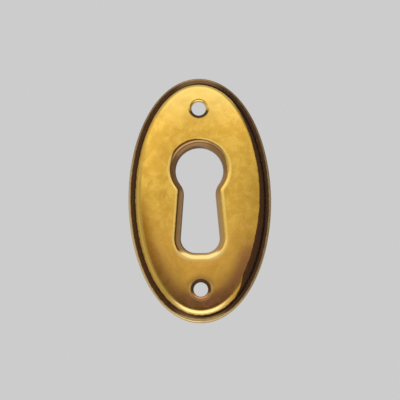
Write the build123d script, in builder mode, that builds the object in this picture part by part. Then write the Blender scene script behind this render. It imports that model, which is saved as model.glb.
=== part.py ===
from build123d import *
import os
from math import radians, tan

# Keyhole escutcheon: one oval plate pressed from sheet brass, hollow behind.
# X runs across the plate and Z up it, the front faces -Y, and the back of the rim lies on Y = 0.

# Plate
plate_width = 28.0
plate_height = 48.8
sheet = 0.8
back_dressing = 0.05

# Border, from the edge inwards
rim_width = 1.1
rim_edge_radius = 0.4
foot_radius = 0.3
shoulder_slope = 60.0
shoulder_radius = 1.35
border_width = 2.45
border_lap = 0.5

# Face inside the border
face_fall = 5.5
face_height = 2.4

# Keyhole, with heights from the middle of the plate
round_diameter = 9.35
round_height = 5.7
slot_bottom_height = -10.7
slot_bottom_width = 8.1
slot_flare = 4.7
slot_corner_radius = 2.9
neck_radius = 3.2
roll_radius = 1.45
roll_land = 0.2
collar_gap = 0.12

# Pin holes
pin_hole_diameter = 2.8
pin_hole_end_distance = 6.4
pin_hole_edge_radius = 0.5
pin_hole_field_clearance = 2.3
pin_hole_border_clearance = 0.95

# Places of the pin holes
pin_hole_spacing = plate_height - 2 * pin_hole_end_distance
pin_hole_reach = pin_hole_diameter / 2 + pin_hole_edge_radius

# Half sizes of the plate and of the face inside the border
side = plate_width / 2
end = plate_height / 2
face_side = side - border_width
face_end = end - border_width

# The face is flat round the keyhole and bends down in one long arc that takes in the pin hole
bend_start = pin_hole_spacing / 2 - pin_hole_reach - pin_hole_field_clearance
bend_end = pin_hole_spacing / 2 + pin_hole_reach + pin_hole_border_clearance
bend = (bend_start + bend_end) / 2
bend_radius = (bend_end - bend) / tan(radians(face_fall / 2))
fall_gradient = tan(radians(face_fall))
face_end_height = face_height - (face_end - bend) * fall_gradient
lap_drop = border_lap * fall_gradient

# The rim loses a little of the sheet where the back is rubbed flat
rim_height = sheet - back_dressing

# The shoulder is where the slope from the rim meets the fall of the face
slope_gradient = tan(radians(shoulder_slope))
slope_rise = face_end_height - rim_height - (border_width - rim_width) * fall_gradient
slope_run = slope_rise / (slope_gradient - fall_gradient)
shoulder_height = rim_height + slope_run * slope_gradient


def keyhole(grow):
    """The keyhole's outline on the back plane, grown on all sides."""
    slot_length = round_height - slot_bottom_height
    slot_top_width = slot_bottom_width - 2 * slot_length * tan(radians(slot_flare))
    with BuildSketch(Plane.XZ) as outline:
        with Locations((0, round_height)):
            Circle(round_diameter / 2)
        with BuildLine():
            Polyline(
                (-slot_bottom_width / 2, slot_bottom_height),
                (slot_bottom_width / 2, slot_bottom_height),
                (slot_top_width / 2, round_height),
                (-slot_top_width / 2, round_height),
                close=True,
            )
        make_face()
        fillet(outline.vertices().group_by(Axis.Y)[1], neck_radius)
        fillet(outline.vertices().group_by(Axis.Y)[0], slot_corner_radius)
        if grow:
            offset(amount=grow)
    return outline.sketch


def rolled_ring(inner, outer, height, radius):
    """A ring between two outlines, standing on the back plane, with its front inner edge rounded."""
    with BuildPart() as ring:
        extrude(outer, amount=height)
        extrude(inner, amount=height, mode=Mode.SUBTRACT)
        fillet(ring.faces().sort_by(Axis.Y)[0].inner_wires()[0].edges(), radius)
    return ring.part


def front_edge(hole_wall):
    """The closed edge of a hole's wall that lies furthest forward."""
    closed = hole_wall.edges().filter_by(lambda edge: edge.is_closed)
    return closed.sort_by(lambda edge: edge.bounding_box().min.Y)[0]


# Outline of the face, where the border ends
with BuildSketch(Plane.XZ) as face_outline:
    Ellipse(face_side, face_end)

# Border: the section of rim, slope and shoulder carried round the face at one width
with BuildPart() as border:
    with BuildSketch(Plane.XY) as border_section:
        with BuildLine():
            FilletPolyline(
                (side, -rim_height),
                (side - rim_width, -rim_height),
                (side - rim_width - slope_run, -shoulder_height),
                (face_side - border_lap, -face_end_height - lap_drop),
                radius=[foot_radius, shoulder_radius],
            )
            offset(amount=sheet, side=Side.RIGHT, closed=True)
        make_face()
        fillet(border_section.vertices().group_by(Axis.X)[-1].sort_by(Axis.Y)[0], rim_edge_radius)
    with BuildLine(Plane.XZ) as border_path:
        EllipticalCenterArc((0, 0), face_side, face_end, 0, arc_size=360)
    sweep(path=border_path.line)
    extrude(face_outline.sketch, amount=face_height, mode=Mode.SUBTRACT)

# Face: its section turned to a round dish, squeezed to an oval and cut to the face's outline
with BuildPart() as face:
    with BuildSketch(Plane.XY):
        with BuildLine():
            FilletPolyline(
                (face_end + border_lap, -face_end_height + lap_drop),
                (bend, -face_height),
                (0, -face_height),
                radius=bend_radius,
            )
            offset(amount=sheet, side=Side.RIGHT, closed=True)
        make_face()
    revolve(axis=Axis.Y)
    scale(by=(face_side / face_end, 1, 1))
    extrude(face_outline.sketch, amount=face_height, mode=Mode.INTERSECT)

# Keyhole collar: the sheet turned inwards in a quarter round, from its front and its back
opening = keyhole(0)
collar_outline = keyhole(roll_radius + roll_land)
collar_front = rolled_ring(opening, collar_outline, face_height, roll_radius)
collar_hollow = rolled_ring(keyhole(sheet), collar_outline, face_height - sheet, roll_radius - sheet)

# Plate: the border and the face, rubbed flat behind, the collar clear of the back plane, and the pin holes.
# Squeezing can leave edges of the face a hair off their surfaces, and fix draws them together.
with BuildPart() as escutcheon_plate:
    add(border.part)
    add(face.part.fix())
    split(bisect_by=Plane.XZ, keep=Keep.TOP)
    extrude(collar_outline, amount=face_height, mode=Mode.SUBTRACT)
    add(collar_front)
    add(collar_hollow, mode=Mode.SUBTRACT)
    extrude(collar_outline, amount=collar_gap, mode=Mode.SUBTRACT)
    with BuildSketch(Plane.XZ):
        with GridLocations(0, pin_hole_spacing, 1, 2):
            Circle(pin_hole_diameter / 2)
    extrude(amount=face_height, mode=Mode.SUBTRACT)
    pin_walls = escutcheon_plate.faces(Select.LAST).filter_by(GeomType.CYLINDER)
    fillet([front_edge(wall) for wall in pin_walls], pin_hole_edge_radius)

escutcheon_plate.part.label = "escutcheon_plate"
os.makedirs("parts", exist_ok=True)
export_step(escutcheon_plate.part, "parts/escutcheon_plate.step")
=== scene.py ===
import math
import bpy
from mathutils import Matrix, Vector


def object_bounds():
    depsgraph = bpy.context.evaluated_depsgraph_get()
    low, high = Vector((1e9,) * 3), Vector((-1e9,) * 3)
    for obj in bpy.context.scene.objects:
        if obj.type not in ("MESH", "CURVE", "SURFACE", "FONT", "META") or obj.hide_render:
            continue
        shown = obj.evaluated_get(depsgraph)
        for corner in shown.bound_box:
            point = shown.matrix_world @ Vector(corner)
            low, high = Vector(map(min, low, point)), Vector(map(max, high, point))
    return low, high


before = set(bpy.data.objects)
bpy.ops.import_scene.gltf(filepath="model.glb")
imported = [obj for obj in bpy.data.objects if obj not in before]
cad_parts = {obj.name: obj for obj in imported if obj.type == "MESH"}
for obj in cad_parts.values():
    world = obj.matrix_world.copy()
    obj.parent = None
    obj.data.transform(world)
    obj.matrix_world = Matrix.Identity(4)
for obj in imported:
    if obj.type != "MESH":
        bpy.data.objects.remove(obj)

from types import SimpleNamespace

import bpy
from mathutils import Matrix, Vector

cad_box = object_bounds()

# Keyhole escutcheon: one brass plate. The solid's own mesh is shown, and this script makes its material,
# the studio and the camera. X runs across the plate and Z up it, and the front faces -Y.

# Sizes of the plate in millimetres: half sizes from the frame, and the others as the solid has them
MM_PER_M = 1000.0
PLATE_SIDE = cad_box[1][0] * MM_PER_M
PLATE_END = -cad_box[0][2] * MM_PER_M
BORDER_WIDTH = 2.45
FACE_SIDE = PLATE_SIDE - BORDER_WIDTH
FACE_END = PLATE_END - BORDER_WIDTH
ROUND_RADIUS = 4.675
ROUND_HEIGHT = 5.7
SLOT_BOTTOM = -10.7
SLOT_HALF_WIDTH = 4.05
SLOT_FLARE = 4.7
SLOT_CORNER = 2.9
NECK_BLEND = 0.5
PIN_HEIGHT = 18.0

# Photograph: its width in pixels, pixels per millimetre, the pixel of the plate's middle, and the camera
FRAME_PX = 400
PX_PER_MM = 5.095
MIDDLE_PX = (199.8, 200.2)
CAMERA_ELEVATION = -11.0
CAMERA_ROLL = 0.67
CAMERA_DISTANCE = 0.5
CAMERA_CLIP = 0.01
SENSOR_MM = 36.0

# Studio in metres, and its greys
BACKGROUND = 0.604
WORLD_FILL = 0.8
FLOOR_GREY = 0.755
CARD_GREY = 0.28
MATTE = 0.9
FLOOR_HEIGHT = -0.45
FLOOR_REACH = 3.0

# Upright edges of the dark cards, each by its low and its top corner, and the two edges of each card
LEFT_POST = ((-0.27, -0.65, -0.36), (-0.27, -0.65, 0.055))
MIDDLE_POST = ((0.0, -0.65, -0.36), (0.0, -0.65, -0.008))
RIGHT_POST = ((0.7, -0.65, -0.02), (0.7, -0.65, 0.11))
TURN_POST = ((0.33, -0.58, -0.02), (0.33, -0.58, 0.10))
SIDE_POST = ((0.66, -0.10, -0.44), (0.66, -0.10, 0.80))
BACK_POST = ((0.66, 0.16, -0.44), (0.66, 0.16, 0.80))
DARK_CARDS = {
    "front_left_card": (LEFT_POST, MIDDLE_POST),
    "front_right_card": (MIDDLE_POST, RIGHT_POST),
    "right_card": (TURN_POST, SIDE_POST),
    "side_card": (SIDE_POST, BACK_POST),
}

# Lamps, which all aim at the origin: name, shape, place, width, length and radiance
LAMPS = [
    ("key", "ELLIPSE", (-0.10, -0.561, 0.571), 1.12, 1.12, 0.38),
    ("top", "RECTANGLE", (0.0, -0.50, 0.52), 0.8, 0.66, 0.32),
    ("left", "RECTANGLE", (-0.69, -0.40, 0.14), 0.5, 0.9, 0.25),
    ("low", "RECTANGLE", (0.0, -0.25, -0.305), 0.5, 0.34, 0.9),
]

# Noises, with a scale in patches per millimetre
CLOUD = dict(scale=0.12, detail=3.0, roughness=0.55, distortion=0.4)
BLOTCH = dict(scale=0.3, detail=4.0, roughness=0.6, distortion=0.5)
PATCH = dict(scale=0.6, detail=3.0, roughness=0.6, distortion=0.3)
MOTTLE = dict(scale=1.3, detail=4.0, roughness=0.65, distortion=0.0)
SPECK = dict(scale=3.4, detail=3.0, roughness=0.6, distortion=0.0)
WAVE = dict(scale=0.35, detail=2.0, roughness=0.5, distortion=0.0)
NOISE_MIDDLE = 0.5

# A fade below is two places, where it starts and where it is full. A band is four places, where it starts,
# where it is full, where it begins to end and where it has ended. A share is what is left of a full mask.
MASK = (0.0, 1.0)

# Fades by the level of a noise
PATCH_FADE = (0.35, 0.65)
CLOUD_FADE = (0.45, 0.75)
SPECK_FADE = (0.52, 0.72)
FILM_FADE = (0.45, 0.72)
POLISH_FADE = (0.3, 0.75)
TARNISH_SPECK_FADE = (0.2, 0.5)
BACK_BLOTCH_FADE = (0.35, 0.65)
BACK_SPECK_FADE = (0.5, 0.75)
BACK_RING_MOTTLE = (0.65, 0.45)

# Shares
FILM_SHARE = 0.6
TARNISH_SPECK_SHARE = 0.9
RUBBED_TOP_SHARE = 0.3
RUBBED_RIGHT_SHARE = 0.75
FOOT_SHADE_LEFT_SHARE = 0.35
CREASE_SHADE_LOW_SHARE = 0.35
LOW_EDGE_SHADE_LEFT_SHARE = 0.6
TAN_ROUND_LEFT_SHARE = 0.4
TAN_ROUND_RIGHT_SHARE = 0.62
LIGHT_LINE_REFLECTION_RIGHT_SHARE = 0.5
BACK_RING_SHARE = 0.45

# Border, in millimetres in from the plate's edge
RIM_UNEVENNESS = 0.35
RIM_EDGE_FADE = (0.9, 0.6)
FOOT_SHADE_BAND = (0.9, 1.1, 1.35, 1.6)
LEFT_SHOULDER_SHADE_BAND = (1.35, 1.55, 2.3, 2.6)
LOW_SHOULDER_HIGHLIGHT_BAND = (1.4, 1.6, 2.0, 2.5)
LOW_LINE_SHADE_BAND = (2.25, 2.4, 2.6, 2.95)
CREASE_SHADE_BAND = (2.3, 2.55, 2.6, 4.8)
FACE_FADE = (2.1, 2.7)
LOW_EDGE_SHADE_BAND = (*FACE_FADE, 3.2, 6.0)
RUBBED_WIDTH = 0.4
RUBBED_WIDTH_LOW = 0.7
RUBBED_FADE = (0.12, -0.12)
BACK_RING_FADE = (1.45, 1.2)
BACK_CORNER_BAND = (1.25, 1.7, 2.2, 3.6)

# How far in the border's tarnish and painted shade reach: on the left, and on the right by the part up of
# the way it faces
LEFT_REACH = 1.44
RIGHT_REACH_WITH_SHADE = [
    (-1.0, 1.44),
    (-0.64, 1.44),
    (-0.54, 1.86),
    (-0.45, 2.64),
    (-0.2, 2.64),
    (0.0, 2.34),
    (0.25, 2.16),
    (0.45, 1.86),
    (0.65, 1.47),
    (1.0, 1.44),
]
REACH_FADE = (0.1, -0.1)

# Ways that the edge faces, as the part across or the part up of a direction of length 1
FACING_RIGHT = (-0.1, 0.1)
FACING_UP = (0.75, 0.97)
FACING_DOWN = (-0.7, -0.95)
RUBBED_UP = (0.35, -0.1)
FOOT_SHADE_ACROSS = (-0.7, 0.2)
CREASE_SHADE_ACROSS = (-0.3, -0.8)
CREASE_SHADE_UP = (0.1, -0.15)
CREASE_SHADE_LOW_UP = (-0.7, -0.3)
LEFT_SHOULDER_SHADE_ACROSS = (-0.4, -0.7)
LEFT_SHOULDER_SHADE_UP = (0.35, 0.0)
LOW_SHOULDER_HIGHLIGHT_UP = (-0.62, -0.9)
LOW_LINE_SHADE_UP = (-0.6, -0.85)
LOW_EDGE_SHADE_ACROSS = (-0.3, 0.35)
FACING_BACK = (0.1, 0.5)

# Keyhole, in millimetres out from the opening
ROLL_UNEVENNESS = 0.2
ROLL_FADE = (1.2, 1.0)
ROLL_COLOUR_FADE = (1.9, 1.7)
# The roll's tarnish reaches further on the left and at the top and less at the sides of the round: painted
# shade that follows the roll's reflections
REACH_LEFT_TO_RIGHT = (0.17, -0.15)
REACH_MORE_AT_TOP = 0.35
REACH_LESS_ROUND_LEFT = -0.12
REACH_LESS_ROUND_RIGHT = -0.17
TAN_START = (0.02, 0.3)
TAN_SOONER_ON_RIGHT = 0.3
TAN_REACH_TO_TOP = (0.95, 0.72)
TAN_END = (0.1, -0.1)
TAN_DEPTH = (0.95, 0.3)
LIGHT_LINE_REFLECTION_BAND = (0.80, 0.92, 1.1, 1.22)
LIP_HIGHLIGHT_BAND = (1.0, 1.2, 1.5, 1.75)
SLOT_FOOT_WALL = (0.2, 0.55)
SLOT_FOOT_HIGHLIGHT = (2.1, 1.2)

# Places across the keyhole, in millimetres to the right of its middle
ACROSS_KEYHOLE = (-3.0, 3.0)
ROUND_LEFT = (1.0, -2.0)
ROUND_RIGHT = (0.5, 3.0)
TAN_RIGHT = (-1.0, 3.0)
SLOT_RIGHT = (0.5, 2.0)

# Heights, in millimetres above the middle of the plate
ROUND_TOP = (6.5, 10.0)
ROUND_TOP_REFLECTION = (6.5, 9.5)
ROUND_LEFT_HEIGHT = (0.5, 2.5, 7.5, 9.5)
ROUND_RIGHT_HEIGHT = (3.5, 6.5)
ROUND_RIGHT_REACH = (10.0, 7.5)
SLOT_RIGHT_HEIGHT = (2.0, -1.0)
SLOT_FOOT_HEIGHT = (-10.1, -11.1)
MIDDLE_HEIGHT = (-1.0, 1.0)
TOP_HIGHLIGHT_HEIGHT = (13.0, 22.0)
LOWER_FACE_SHADE = (2.0, -14.0)
LOW_EDGE_SHADE_HEIGHT = (-7.0, -12.0)
LOW_END_SHADE_HEIGHT = (-17.0, -20.5)
LOW_PIN_HEIGHT = (-10.0, -12.0)
HALO_HEIGHT = (-17.8, -17.0)

# Pin holes, in millimetres from the middle of the hole, all round or towards the end of the plate
PIN_UNEVENNESS = 0.2
PIN_FADE = (2.3, 2.0)
PIN_SIDE_LOW_TO_TOP = (0.95, -0.2)
PIN_SIDE_FADE = (0.6, -0.6)
PIN_LIP_HIGHLIGHT_BAND = (1.95, 2.1, 2.25, 2.5)
PIN_LIP_HIGHLIGHT_SIDE = (-1.6, -0.8)
HALO_FADE = (3.4, 1.9)

# Relief in millimetres
WAVE_HEIGHT = 0.006
GRAIN_HEIGHT = 0.001
PIT_HEIGHT = 0.006

# Surface: the roughness of the polish and what each layer adds to it, and the dull skin of the tarnish
POLISH = (0.17, 0.24)
FILM_ROUGHNESS = 0.12
TARNISH_ROUGHNESS = 0.2
BACK_ROUGHNESS = 0.2
TARNISH_METALLIC = 0.25
SKIN_SPECULAR = 0.1


def rgb(red, green, blue):
    return (red, green, blue, 1.0)


# Colours of the brass, and of the highlights and shade painted on it
BRASS = rgb(0.91, 0.56, 0.095)
BRASS_PATCH = rgb(0.77, 0.44, 0.06)
BRASS_LOW_SHADE = rgb(0.90, 0.465, 0.085)
BRASS_CLOUD = rgb(0.74, 0.43, 0.06)
BRASS_SPECK = rgb(0.58, 0.31, 0.05)
BRASS_FILM = rgb(0.66, 0.35, 0.05)
BRASS_TOP_HIGHLIGHT = rgb(0.84, 0.60, 0.17)
LOW_EDGE_SHADE = rgb(0.55, 0.24, 0.075)
LOW_END_SHADE = rgb(0.44, 0.17, 0.075)
LOW_LINE_SHADE = rgb(0.30, 0.13, 0.015)
PIN_HALO = rgb(0.42, 0.21, 0.06)
PIN_LIP_HIGHLIGHT = rgb(0.96, 0.58, 0.22)
LEFT_CREASE_SHADE = rgb(0.40, 0.16, 0.012)
LEFT_SHOULDER_SHADE = rgb(0.54, 0.35, 0.07)
KEYHOLE_LIP_HIGHLIGHT = rgb(0.98, 0.66, 0.17)
LOW_HIGHLIGHT = rgb(0.89, 0.63, 0.23)
RIM_EDGE = rgb(0.66, 0.47, 0.20)

# Colours of the tarnish, and of the light, shade and reflections painted on it, as a pair where the specks
# mix two
GROOVE_LEFT = (rgb(0.044, 0.014, 0.003), rgb(0.085, 0.033, 0.010))
GROOVE_RIGHT_AND_SHADE = (rgb(0.040, 0.0145, 0.004), rgb(0.078, 0.031, 0.013))
GROOVE_ENDS_LIT = (rgb(0.14, 0.070, 0.026), rgb(0.25, 0.14, 0.060))
GROOVE_FOOT_SHADE = rgb(0.016, 0.007, 0.0025)
ROLL_DARK = rgb(0.060, 0.024, 0.005)
ROLL_TOP_REFLECTION = rgb(0.13, 0.05, 0.003)
ROLL_TAN_REFLECTION = rgb(0.27, 0.14, 0.035)
ROLL_TAN_DEEP_REFLECTION = rgb(0.34, 0.20, 0.095)
ROLL_TAN_RIGHT_REFLECTION = rgb(0.52, 0.35, 0.13)
ROLL_LIGHT_REFLECTION = rgb(0.62, 0.37, 0.17)
PIN_STAIN = rgb(0.065, 0.032, 0.011)

# Colours of the back
BACK = rgb(0.46, 0.28, 0.085)
BACK_BLOTCH = rgb(0.27, 0.15, 0.055)
BACK_SPECK = rgb(0.15, 0.085, 0.035)
BACK_CORNER = rgb(0.10, 0.055, 0.022)
BACK_RING = rgb(0.74, 0.48, 0.12)


class Graph:
    """A node tree with short calls for the nodes that a material is made of."""

    # Places of the colour sockets on a Mix node
    COLOUR_A = 6
    COLOUR_B = 7
    COLOUR_RESULT = 2

    def __init__(self, tree):
        self.tree = tree
        tree.nodes.clear()

    def node(self, kind, **values):
        made = self.tree.nodes.new(kind)
        for name, value in values.items():
            setattr(made, name, value)
        return made

    def put(self, socket, value):
        """Link an output to a socket, or set a plain value on it."""
        if isinstance(value, bpy.types.NodeSocket):
            self.tree.links.new(value, socket)
        elif value is not None:
            socket.default_value = value

    def math(self, operation, a, b=None, c=None):
        made = self.node("ShaderNodeMath", operation=operation)
        for socket, value in zip(made.inputs, (a, b, c)):
            self.put(socket, value)
        return made.outputs[0]

    def chain(self, operation, values):
        """One operation carried through all the values, from the first to the last."""
        result = values[0]
        for value in values[1:]:
            result = self.math(operation, result, value)
        return result

    def product(self, *values):
        return self.chain("MULTIPLY", values)

    def total(self, *values):
        return self.chain("ADD", values)

    def largest(self, *values):
        return self.chain("MAXIMUM", values)

    def without(self, mask, taken):
        """What is left of a mask when another is taken off it."""
        return self.product(mask, self.math("SUBTRACT", 1.0, taken))

    def length(self, a, b):
        squares = self.math("ADD", self.math("POWER", a, 2.0), self.math("POWER", b, 2.0))
        return self.math("SQRT", squares)

    def parts(self, vector):
        made = self.node("ShaderNodeSeparateXYZ")
        self.put(made.inputs[0], vector)
        return made.outputs

    def ramp(self, value, span, levels=MASK, smooth=True):
        """A value carried from a span to two levels, and held at the levels beyond the span."""
        kind = "SMOOTHSTEP" if smooth else "LINEAR"
        made = self.node("ShaderNodeMapRange", interpolation_type=kind, clamp=True)
        for socket, given in zip(made.inputs, (value, *span, *levels)):
            self.put(socket, given)
        return made.outputs[0]

    def band(self, value, places):
        """A mask that is full inside a band."""
        start, full, fade, end = places
        return self.product(self.ramp(value, (start, full)), self.ramp(value, (end, fade)))

    def uneven(self, distance, noise, amount):
        """A distance made uneven by a noise, by up to half the amount either way."""
        return self.math("MULTIPLY_ADD", self.math("SUBTRACT", noise, NOISE_MIDDLE), amount, distance)

    def curve(self, value, points):
        """A value carried through straight runs between points, each a place and a level above 0."""
        low = points[0][0]
        high = points[-1][0]
        top = max(level for _, level in points)
        made = self.node("ShaderNodeFloatCurve")
        line = made.mapping.curves[0]
        line.points[0].location = (0.0, points[0][1] / top)
        line.points[1].location = (1.0, points[-1][1] / top)
        for place, level in points[1:-1]:
            line.points.new((place - low) / (high - low), level / top)
        for point in line.points:
            point.handle_type = "VECTOR"
        made.mapping.update()
        self.put(made.inputs["Value"], self.ramp(value, (low, high), smooth=False))
        return self.product(made.outputs[0], top)

    def mix(self, factor, a, b):
        made = self.node("ShaderNodeMix", data_type="RGBA", blend_type="MIX", clamp_factor=True)
        self.put(made.inputs[0], factor)
        self.put(made.inputs[self.COLOUR_A], a)
        self.put(made.inputs[self.COLOUR_B], b)
        return made.outputs[self.COLOUR_RESULT]

    def layers(self, base, *layers):
        """A base colour under layers, each a mask, its share where the mask is full, and a colour."""
        for mask, share, colour in layers:
            base = self.mix(self.product(mask, share), base, colour)
        return base

    def noise(self, vector, scale, detail, roughness, distortion):
        made = self.node("ShaderNodeTexNoise", noise_dimensions="3D")
        self.put(made.inputs["Vector"], vector)
        self.put(made.inputs["Scale"], scale)
        self.put(made.inputs["Detail"], detail)
        self.put(made.inputs["Roughness"], roughness)
        self.put(made.inputs["Distortion"], distortion)
        return made.outputs[0]

    def scaled(self, vector, by):
        made = self.node("ShaderNodeVectorMath", operation="MULTIPLY")
        self.put(made.inputs[0], vector)
        self.put(made.inputs[1], (by, by, by))
        return made.outputs[0]


def border_place(g, x, z):
    """Distance in from the plate's edge, and the way the edge faces, across and up."""
    across = g.math("DIVIDE", x, FACE_SIDE)
    along = g.math("DIVIDE", z, FACE_END)
    oval = g.length(across, along)
    out_x = g.math("DIVIDE", across, FACE_SIDE)
    out_z = g.math("DIVIDE", along, FACE_END)
    steep = g.length(out_x, out_z)
    beyond = g.math("DIVIDE", g.product(g.math("SUBTRACT", oval, 1.0), oval), steep)
    edge = g.math("SUBTRACT", BORDER_WIDTH, beyond)
    return edge, g.math("DIVIDE", out_x, steep), g.math("DIVIDE", out_z, steep)


def keyhole_distance(g, x, z):
    """Distance out from the keyhole's opening, along the face."""
    above_round = g.math("SUBTRACT", z, ROUND_HEIGHT)
    from_round = g.math("SUBTRACT", g.length(x, above_round), ROUND_RADIUS)
    flare = math.radians(SLOT_FLARE)
    rise = g.math("SUBTRACT", z, SLOT_BOTTOM)
    side = g.math("MULTIPLY_ADD", rise, math.tan(flare), g.math("ABSOLUTE", x))
    side = g.product(g.math("SUBTRACT", side, SLOT_HALF_WIDTH), math.cos(flare))
    from_side = g.largest(g.math("ADD", side, SLOT_CORNER), 0.0)
    from_low = g.largest(g.math("SUBTRACT", SLOT_CORNER, rise), 0.0)
    from_slot = g.math("SUBTRACT", g.length(from_side, from_low), SLOT_CORNER)
    return g.math("SMOOTH_MIN", from_round, g.largest(from_slot, above_round), NECK_BLEND)


def plate_fields(g):
    """Where a point lies on the plate, in millimetres, noises of five scales, and zones used in common."""
    place = g.scaled(g.node("ShaderNodeTexCoord").outputs["Object"], MM_PER_M)
    p = SimpleNamespace(place=place)
    p.x, _, p.z = g.parts(place)
    p.edge, p.out_x, p.out_z = border_place(g, p.x, p.z)
    p.keyhole = keyhole_distance(g, p.x, p.z)
    p.pin_along = g.math("SUBTRACT", g.math("ABSOLUTE", p.z), PIN_HEIGHT)
    p.pin = g.length(p.x, p.pin_along)
    p.cloud = g.noise(place, **CLOUD)
    p.blotch = g.noise(place, **BLOTCH)
    p.patch = g.noise(place, **PATCH)
    p.mottle = g.noise(place, **MOTTLE)
    p.speck = g.noise(place, **SPECK)
    p.ragged = g.uneven(p.edge, p.mottle, RIM_UNEVENNESS)
    p.film = g.product(g.ramp(p.blotch, FILM_FADE), FILM_SHARE)
    p.right = g.ramp(p.out_x, FACING_RIGHT)
    p.lower = g.ramp(p.out_z, FACING_DOWN)
    p.upper = g.ramp(p.out_z, FACING_UP)
    p.behind = g.ramp(g.parts(g.node("ShaderNodeNewGeometry").outputs["Normal"])[1], FACING_BACK)
    p.low_pin = g.ramp(p.z, LOW_PIN_HEIGHT)
    p.round_left = g.product(g.ramp(p.x, ROUND_LEFT), g.band(p.z, ROUND_LEFT_HEIGHT))
    p.round_right = g.product(g.ramp(p.x, ROUND_RIGHT), g.ramp(p.z, ROUND_RIGHT_HEIGHT))
    p.slot_foot = g.product(g.ramp(p.z, SLOT_FOOT_HEIGHT), g.ramp(p.keyhole, SLOT_FOOT_WALL))
    return p


def groove_tarnish_and_shade(g, p):
    """Tarnish in the rim groove and painted shade over the right shoulder, rubbed off the edge except
    towards the top.
    """
    reach = g.ramp(p.right, MASK, (LEFT_REACH, g.curve(p.out_z, RIGHT_REACH_WITH_SHADE)))
    groove_and_shade = g.ramp(g.math("SUBTRACT", p.ragged, reach), REACH_FADE)
    rubbed_width = g.ramp(p.lower, MASK, (RUBBED_WIDTH, RUBBED_WIDTH_LOW), smooth=False)
    rubbed = g.product(
        g.ramp(p.out_z, RUBBED_UP, (RUBBED_TOP_SHARE, 1.0)),
        g.ramp(p.right, MASK, (1.0, RUBBED_RIGHT_SHARE)),
        g.ramp(g.math("SUBTRACT", p.ragged, rubbed_width), RUBBED_FADE),
    )
    return g.without(groove_and_shade, rubbed)


def roll_tarnish_and_shade(g, p):
    """Tarnish down the keyhole's roll, kept off the foot of the slot where a highlight is painted, and
    reaching further where the roll lies in dark reflection, which is painted shade.
    """
    reach = g.total(
        g.ramp(p.x, ACROSS_KEYHOLE, REACH_LEFT_TO_RIGHT),
        g.ramp(p.z, ROUND_TOP, (0.0, REACH_MORE_AT_TOP)),
        g.product(p.round_left, REACH_LESS_ROUND_LEFT),
        g.product(p.round_right, g.ramp(p.z, ROUND_RIGHT_REACH), REACH_LESS_ROUND_RIGHT),
    )
    uneven = g.uneven(p.keyhole, p.mottle, ROLL_UNEVENNESS)
    return g.without(g.ramp(g.math("SUBTRACT", uneven, reach), ROLL_FADE), p.slot_foot)


def pin_tarnish(g, p):
    """Tarnish in the pin holes, on the side towards the middle of the plate."""
    uneven = g.math("MULTIPLY_ADD", p.mottle, PIN_UNEVENNESS, p.pin)
    side = g.math("SUBTRACT", p.pin_along, g.ramp(p.z, MIDDLE_HEIGHT, PIN_SIDE_LOW_TO_TOP))
    return g.product(g.ramp(uneven, PIN_FADE), g.ramp(side, PIN_SIDE_FADE))


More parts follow.
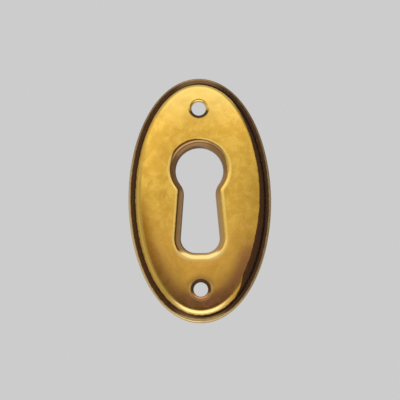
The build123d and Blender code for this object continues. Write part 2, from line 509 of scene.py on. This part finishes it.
def metal_colour_and_painted_light(g, p):
    """Brass with patches, specks and films, a brown halo above the lower pin hole and a rubbed outer edge,
    with painted shade at the lower end, in the creases and on the lower left shoulder, and painted
    highlights at the top, round the lips and on the lower shoulder.
    """
    # Painted shade: a darker band just inside the border at the lower end, weaker on the left
    low_edge_shade = g.product(
        g.band(p.edge, LOW_EDGE_SHADE_BAND),
        g.ramp(p.out_x, LOW_EDGE_SHADE_ACROSS, (LOW_EDGE_SHADE_LEFT_SHARE, 1.0)),
        g.ramp(p.z, LOW_EDGE_SHADE_HEIGHT),
    )
    # Painted shade: the lower end of the face darker
    low_end_shade = g.product(g.ramp(p.z, LOW_END_SHADE_HEIGHT), g.ramp(p.edge, FACE_FADE))
    # Painted shade: a dark line where the face meets the lower shoulder
    low_line_shade = g.product(g.band(p.edge, LOW_LINE_SHADE_BAND), g.ramp(p.out_z, LOW_LINE_SHADE_UP))
    low_shoulder_highlight = g.product(g.band(p.edge, LOW_SHOULDER_HIGHLIGHT_BAND), g.ramp(p.out_z, LOW_SHOULDER_HIGHLIGHT_UP))
    halo = g.product(g.ramp(p.pin, HALO_FADE), g.ramp(p.z, HALO_HEIGHT), p.low_pin)
    # Painted highlight: a light ring on the edge of the lower pin hole, on the side away from the middle
    pin_lip_highlight = g.product(g.band(p.pin, PIN_LIP_HIGHLIGHT_BAND), p.low_pin, g.ramp(p.pin_along, PIN_LIP_HIGHLIGHT_SIDE))
    # Painted shade: a dark line in the crease between the face and the shoulder on the lower left
    crease_shade = g.product(
        g.band(p.ragged, CREASE_SHADE_BAND),
        g.ramp(p.out_z, CREASE_SHADE_UP),
        g.ramp(p.out_x, CREASE_SHADE_ACROSS),
        g.ramp(p.out_z, CREASE_SHADE_LOW_UP, (CREASE_SHADE_LOW_SHARE, 1.0)),
    )
    # Painted shade: the shoulder on the lower left darker and browner
    left_shoulder_shade = g.product(
        g.band(p.edge, LEFT_SHOULDER_SHADE_BAND),
        g.ramp(p.out_z, LEFT_SHOULDER_SHADE_UP),
        g.ramp(p.out_x, LEFT_SHOULDER_SHADE_ACROSS),
    )
    slot_foot_highlight = g.product(p.slot_foot, g.ramp(p.keyhole, SLOT_FOOT_HIGHLIGHT))
    return g.layers(
        g.mix(g.ramp(p.patch, PATCH_FADE), BRASS, BRASS_PATCH),
        # Painted shade: the face darker and more orange towards the bottom
        (g.ramp(p.z, LOWER_FACE_SHADE), 0.7, BRASS_LOW_SHADE),
        (g.ramp(p.cloud, CLOUD_FADE), 0.4, BRASS_CLOUD),
        (g.ramp(p.speck, SPECK_FADE), 0.3, BRASS_SPECK),
        (p.film, 1.0, BRASS_FILM),
        (low_edge_shade, 1.0, LOW_EDGE_SHADE),
        (low_end_shade, 0.75, LOW_END_SHADE),
        # Painted highlight: the face paler towards the top
        (g.ramp(p.z, TOP_HIGHLIGHT_HEIGHT), 0.8, BRASS_TOP_HIGHLIGHT),
        (halo, 0.75, PIN_HALO),
        (low_line_shade, 0.7, LOW_LINE_SHADE),
        (pin_lip_highlight, 0.6, PIN_LIP_HIGHLIGHT),
        (crease_shade, 0.8, LEFT_CREASE_SHADE),
        (left_shoulder_shade, 0.85, LEFT_SHOULDER_SHADE),
        # Painted highlight: a pale line round the keyhole's lip
        (g.band(p.keyhole, LIP_HIGHLIGHT_BAND), 1.0, KEYHOLE_LIP_HIGHLIGHT),
        # Painted highlight: paler brass on the lower shoulder and at the foot of the slot
        (g.largest(slot_foot_highlight, low_shoulder_highlight), 1.0, LOW_HIGHLIGHT),
        (g.ramp(p.edge, RIM_EDGE_FADE), 1.0, RIM_EDGE),
    )


def roll_colour_and_reflections(g, p):
    """Colour of the keyhole's roll: dark tarnish, with painted reflections: lighter at the top of the
    round, a tan band in its depth and a light line at the top.
    """
    tan_start = g.math("ADD", p.keyhole, g.ramp(p.x, TAN_RIGHT, (0.0, TAN_SOONER_ON_RIGHT)))
    tan_end = g.math("SUBTRACT", p.keyhole, g.ramp(p.z, ROUND_TOP, TAN_REACH_TO_TOP))
    tan_reflection_band = g.product(
        g.ramp(tan_start, TAN_START),
        g.ramp(tan_end, TAN_END),
        g.ramp(p.round_left, MASK, (1.0, TAN_ROUND_LEFT_SHARE)),
        g.ramp(p.round_right, MASK, (1.0, TAN_ROUND_RIGHT_SHARE)),
    )
    light_line_reflection = g.product(
        g.band(p.keyhole, LIGHT_LINE_REFLECTION_BAND),
        g.ramp(p.round_right, MASK, (1.0, LIGHT_LINE_REFLECTION_RIGHT_SHARE)),
        g.ramp(p.z, ROUND_TOP),
    )
    slot_right = g.product(g.ramp(p.x, SLOT_RIGHT), g.ramp(p.z, SLOT_RIGHT_HEIGHT))
    tan = g.mix(g.ramp(p.keyhole, TAN_DEPTH), ROLL_TAN_REFLECTION, ROLL_TAN_DEEP_REFLECTION)
    return g.layers(
        # Painted reflections: the tarnish lighter at the top of the round, the tan band and the light line
        g.mix(g.ramp(p.z, ROUND_TOP_REFLECTION), ROLL_DARK, ROLL_TOP_REFLECTION),
        (tan_reflection_band, 1.0, g.layers(tan, (slot_right, 0.4, ROLL_TAN_RIGHT_REFLECTION))),
        (light_line_reflection, 1.0, ROLL_LIGHT_REFLECTION),
    )


def tarnish_colour_and_painted_light(g, p, pins):
    """Browns of the tarnish in the groove, on the keyhole's roll and in the pin holes, with painted shade
    at the groove's foot, painted light at its ends and painted reflections on the roll.
    """
    left = g.mix(p.speck, *GROOVE_LEFT)
    right = g.mix(p.speck, *GROOVE_RIGHT_AND_SHADE)
    ends_lit = g.mix(p.speck, *GROOVE_ENDS_LIT)
    foot_shade = g.product(g.band(p.edge, FOOT_SHADE_BAND), g.ramp(p.out_x, FOOT_SHADE_ACROSS, (FOOT_SHADE_LEFT_SHARE, 1.0)))
    return g.layers(
        g.mix(p.right, left, right),
        # Painted light: the groove's tarnish lighter at the top and bottom ends
        (g.largest(p.lower, p.upper), 1.0, ends_lit),
        # Painted shade: darkest at the foot of the shoulder's wall, less on the left
        (foot_shade, 1.0, GROOVE_FOOT_SHADE),
        (g.ramp(p.keyhole, ROLL_COLOUR_FADE), 1.0, roll_colour_and_reflections(g, p)),
        (pins, 1.0, PIN_STAIN),
    )


def back_colour(g, p):
    """Brown oxide behind, darker in the corner of the hollow, with the flat ring rubbed bright."""
    worn = g.ramp(p.mottle, BACK_RING_MOTTLE, (BACK_RING_SHARE, 1.0))
    ring = g.product(g.ramp(p.ragged, BACK_RING_FADE), worn)
    return g.layers(
        g.mix(g.ramp(p.blotch, BACK_BLOTCH_FADE), BACK, BACK_BLOTCH),
        (g.ramp(p.speck, BACK_SPECK_FADE), 0.6, BACK_SPECK),
        (g.band(p.ragged, BACK_CORNER_BAND), 0.7, BACK_CORNER),
        (ring, 1.0, BACK_RING),
    )


def roughness(g, p, tarnish_and_shade):
    """Polish that varies a little, and rougher under film, in the tarnish and behind."""
    return g.total(
        g.ramp(p.mottle, POLISH_FADE, POLISH),
        g.product(p.film, FILM_ROUGHNESS),
        g.product(tarnish_and_shade, TARNISH_ROUGHNESS),
        g.product(p.behind, BACK_ROUGHNESS),
    )


def relief(g, p, tarnish_and_shade):
    """Bump: a gentle waviness left by the press, a fine grain, and unevenness in the tarnish."""
    wave = g.product(g.noise(p.place, **WAVE), WAVE_HEIGHT)
    grain = g.product(p.mottle, GRAIN_HEIGHT)
    pits = g.product(p.speck, tarnish_and_shade, PIT_HEIGHT)
    bump = g.node("ShaderNodeBump")
    bump.inputs["Strength"].default_value = 1.0
    bump.inputs["Distance"].default_value = 1.0 / MM_PER_M
    g.put(bump.inputs["Height"], g.total(wave, grain, pits))
    return bump.outputs[0]


def aged_brass():
    """Polished brass with tarnish left in the rim groove, down the keyhole's roll and in the pin holes, and
    with painted highlights, shade and reflections.
    """
    material = bpy.data.materials.new("aged_brass")
    material.use_nodes = True
    g = Graph(material.node_tree)
    p = plate_fields(g)
    pins = pin_tarnish(g, p)
    tarnish_and_shade = g.largest(groove_tarnish_and_shade(g, p), roll_tarnish_and_shade(g, p), pins)
    tarnish_and_shade = g.product(tarnish_and_shade, g.ramp(p.speck, TARNISH_SPECK_FADE, (TARNISH_SPECK_SHARE, 1.0)))
    front = g.mix(tarnish_and_shade, metal_colour_and_painted_light(g, p), tarnish_colour_and_painted_light(g, p, pins))
    shader = g.node("ShaderNodeBsdfPrincipled")
    shader.inputs["Specular IOR Level"].default_value = SKIN_SPECULAR
    g.put(shader.inputs["Metallic"], g.ramp(tarnish_and_shade, MASK, (1.0, TARNISH_METALLIC), smooth=False))
    g.put(shader.inputs["Base Color"], g.mix(p.behind, front, back_colour(g, p)))
    g.put(shader.inputs["Roughness"], roughness(g, p, tarnish_and_shade))
    g.put(shader.inputs["Normal"], relief(g, p, tarnish_and_shade))
    g.put(g.node("ShaderNodeOutputMaterial").inputs[0], shader.outputs[0])
    return material


def plain(name, grey):
    """A plain matte grey for the floor and the dark cards."""
    material = bpy.data.materials.new(name)
    material.use_nodes = True
    shader = material.node_tree.nodes["Principled BSDF"]
    shader.inputs["Base Color"].default_value = rgb(grey, grey, grey)
    shader.inputs["Roughness"].default_value = MATTE
    shader.inputs["Specular IOR Level"].default_value = 0.0
    return material


def card(name, corners, material):
    """A flat four-cornered surface of the studio."""
    mesh = bpy.data.meshes.new(name)
    mesh.from_pydata(corners, [], [(0, 1, 2, 3)])
    mesh.materials.append(material)
    made = bpy.data.objects.new(name, mesh)
    bpy.context.collection.objects.link(made)
    return made


def floor():
    """A pale floor under the plate."""
    signs = [(-1, -1), (1, -1), (1, 1), (-1, 1)]
    corners = [(x * FLOOR_REACH, y * FLOOR_REACH, FLOOR_HEIGHT) for x, y in signs]
    card("floor", corners, plain("floor", FLOOR_GREY))


def dark_cards():
    """Cards out of the camera's sight that give the polished face its dark reflections."""
    dark = plain("dark_card", CARD_GREY)
    for name, posts in DARK_CARDS.items():
        (first_low, first_top), (second_low, second_top) = posts
        made = card(name, [first_low, second_low, second_top, first_top], dark)
        made.visible_camera = False
        made.visible_diffuse = False


def softbox(name, shape, place, width, length, radiance):
    """An area lamp that shows this radiance in a mirror, over what lies behind it."""
    lamp = bpy.data.lights.new(name, "AREA")
    lamp.shape = shape
    lamp.size = width
    lamp.size_y = length
    area = width * length * (math.pi / 4 if shape == "ELLIPSE" else 1.0)
    lamp.energy = radiance * math.pi * area
    made = bpy.data.objects.new(name, lamp)
    made.location = place
    made.rotation_euler = (-Vector(place)).to_track_quat("-Z", "Y").to_euler()
    made.visible_camera = False
    bpy.context.collection.objects.link(made)


def studio_world():
    """The pale background for the camera, mirrors and glass, and a plain fill for the rest."""
    world = bpy.data.worlds.new("studio")
    world.use_nodes = True
    g = Graph(world.node_tree)
    path = g.node("ShaderNodeLightPath").outputs
    seen = g.largest(path["Is Camera Ray"], path["Is Glossy Ray"], path["Is Transmission Ray"])
    back = g.node("ShaderNodeBackground")
    back.inputs["Color"].default_value = rgb(1.0, 1.0, 1.0)
    g.put(back.inputs["Strength"], g.ramp(seen, MASK, (WORLD_FILL, BACKGROUND), smooth=False))
    g.put(g.node("ShaderNodeOutputWorld").inputs[0], back.outputs[0])
    return world


def photo_camera():
    """The photograph's camera, straight in front of the plate and below it."""
    elevation = math.radians(CAMERA_ELEVATION)
    toward = Vector((0.0, -math.cos(elevation), math.sin(elevation)))
    lens = bpy.data.cameras.new("camera")
    lens.sensor_width = SENSOR_MM
    lens.lens = PX_PER_MM * SENSOR_MM / FRAME_PX * CAMERA_DISTANCE * MM_PER_M
    lens.shift_x = (FRAME_PX / 2 - MIDDLE_PX[0]) / FRAME_PX
    lens.shift_y = (MIDDLE_PX[1] - FRAME_PX / 2) / FRAME_PX
    lens.clip_start = CAMERA_CLIP
    camera = bpy.data.objects.new("camera", lens)
    bpy.context.collection.objects.link(camera)
    aim = (-toward).to_track_quat("-Z", "Y").to_matrix()
    turn = aim @ Matrix.Rotation(math.radians(-CAMERA_ROLL), 3, "Z")
    camera.matrix_world = Matrix.Translation(toward * CAMERA_DISTANCE) @ turn.to_4x4()
    return camera


# Plate
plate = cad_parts["escutcheon_plate"]
plate.data.materials[0] = aged_brass()

# Studio
floor()
dark_cards()
for lamp_values in LAMPS:
    softbox(*lamp_values)
scene = bpy.context.scene
scene.world = studio_world()
scene.camera = photo_camera()
scene.view_settings.view_transform = "Standard"
